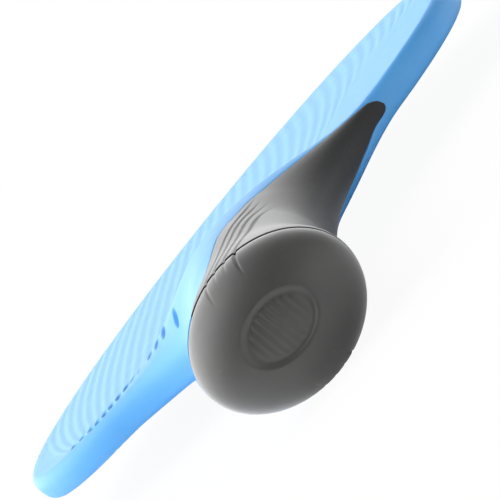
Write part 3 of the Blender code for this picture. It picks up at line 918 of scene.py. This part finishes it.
# The photograph's camera, from a fit to the blade's outline and the cap's
CAMERA_PLACE = (0.038494, -0.729, 0.066425)
CAMERA_YAW = -0.0517925
CAMERA_PITCH = -0.0889990
CAMERA_ROLL = -0.8900777
FOCAL_PIXELS = 3425.77
PHOTO_WIDTH = 500
SENSOR_WIDTH = 36.0
NEAREST_SEEN = 0.01
FARTHEST_SEEN = 50.0


def make_camera():
    forward = Vector((
        math.sin(CAMERA_YAW) * math.cos(CAMERA_PITCH),
        math.cos(CAMERA_YAW) * math.cos(CAMERA_PITCH),
        math.sin(CAMERA_PITCH),
    ))
    level = Vector((math.cos(CAMERA_YAW), -math.sin(CAMERA_YAW), 0.0))
    upright = level.cross(forward)
    right = level * math.cos(CAMERA_ROLL) + upright * math.sin(CAMERA_ROLL)
    up = upright * math.cos(CAMERA_ROLL) - level * math.sin(CAMERA_ROLL)
    data = bpy.data.cameras.new("camera")
    data.sensor_width = SENSOR_WIDTH
    data.lens = FOCAL_PIXELS / PHOTO_WIDTH * SENSOR_WIDTH
    data.clip_start = NEAREST_SEEN
    data.clip_end = FARTHEST_SEEN
    camera = bpy.data.objects.new("camera", data)
    turn = Matrix((right, up, -forward)).transposed().to_4x4()
    camera.matrix_world = Matrix.Translation(CAMERA_PLACE) @ turn
    bpy.context.scene.collection.objects.link(camera)
    bpy.context.scene.camera = camera


FLOOR_SIZE = 6.0
FLOOR_GLOW = 0.94


def add_math(tree, operation, first, second):
    """A maths node on a link and a link or a number."""
    node = tree.nodes.new("ShaderNodeMath")
    node.operation = operation
    tree.links.new(first, node.inputs[0])
    if isinstance(second, float):
        node.inputs[1].default_value = second
    else:
        tree.links.new(second, node.inputs[1])
    return node.outputs[0]


def blend_shaders(tree, factor, first, second):
    blend = tree.nodes.new("ShaderNodeMixShader")
    tree.links.new(factor, blend.inputs["Fac"])
    tree.links.new(first, blend.inputs[1])
    tree.links.new(second, blend.inputs[2])
    return blend.outputs["Shader"]


def floor_finish():
    """Matt white that the camera sees nearly plain white, with some of its shadow left."""
    finish = Finish("floor", roughness=FLOOR_ROUGHNESS)
    finish.color(finish.ramp(finish.noise(FLOOR_CLOUDS), WHOLE_NOISE, FLOOR_WHITES))
    tree = finish.tree
    glow = tree.nodes.new("ShaderNodeEmission")
    glow.inputs["Strength"].default_value = 1.0
    seen = tree.nodes.new("ShaderNodeLightPath").outputs["Is Camera Ray"]
    share = add_math(tree, "MULTIPLY", seen, FLOOR_GLOW)
    lit = blend_shaders(tree, share, finish.shader.outputs["BSDF"], glow.outputs["Emission"])
    tree.links.new(lit, tree.nodes["Material Output"].inputs["Surface"])
    return finish.material


def make_floor():
    """A plain floor under the bat's lowest point."""
    mesh = bmesh.new()
    bmesh.ops.create_grid(mesh, x_segments=8, y_segments=8, size=FLOOR_SIZE / 2)
    data = bpy.data.meshes.new("floor")
    mesh.to_mesh(data)
    mesh.free()
    data.materials.append(floor_finish())
    floor = bpy.data.objects.new("floor", data)
    floor.location = (0.0, 0.0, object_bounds()[0][2])
    bpy.context.scene.collection.objects.link(floor)


# The soft glows of the surroundings: the way to each one's middle, and its strength there
GLOW_FOCUS = 4.0
GLOWS = (
    ((-0.63, 0.04, 0.77), 3.1),
    ((-0.05, 0.99, -0.09), 2.4),
    ((-0.84, 0.54, 0.03), 2.1),
    ((0.84, -0.54, -0.03), 1.25),
    ((-0.77, -0.10, -0.63), 0.12),
)


def add_glow(tree, place, middle, strength):
    """Light that is strongest from one way and falls off softly round it."""
    dot = tree.nodes.new("ShaderNodeVectorMath")
    dot.operation = "DOT_PRODUCT"
    dot.inputs[1].default_value = Vector(middle).normalized()
    tree.links.new(place, dot.inputs[0])
    facing = add_math(tree, "MAXIMUM", dot.outputs["Value"], 0.0)
    return add_math(tree, "MULTIPLY", add_math(tree, "POWER", facing, GLOW_FOCUS), strength)


def make_world():
    """Soft surroundings, bright beyond the bat and on its -X side, and plain white to the eye."""
    world = bpy.data.worlds.new("studio")
    bpy.context.scene.world = world
    world.use_nodes = True
    tree = world.node_tree
    tree.nodes.clear()
    place = tree.nodes.new("ShaderNodeTexCoord").outputs["Generated"]
    total = add_glow(tree, place, *GLOWS[0])
    for middle, strength in GLOWS[1:]:
        total = add_math(tree, "ADD", total, add_glow(tree, place, middle, strength))
    around, white = [tree.nodes.new("ShaderNodeBackground") for _ in range(2)]
    for node in (around, white):
        node.inputs["Color"].default_value = (1, 1, 1, 1)
    tree.links.new(total, around.inputs["Strength"])
    seen = tree.nodes.new("ShaderNodeLightPath").outputs["Is Camera Ray"]
    light = blend_shaders(tree, seen, around.outputs["Background"], white.outputs["Background"])
    tree.links.new(light, tree.nodes.new("ShaderNodeOutputWorld").inputs["Surface"])


make_bat()
make_camera()
make_floor()
make_world()
bpy.context.scene.view_settings.view_transform = "Standard"
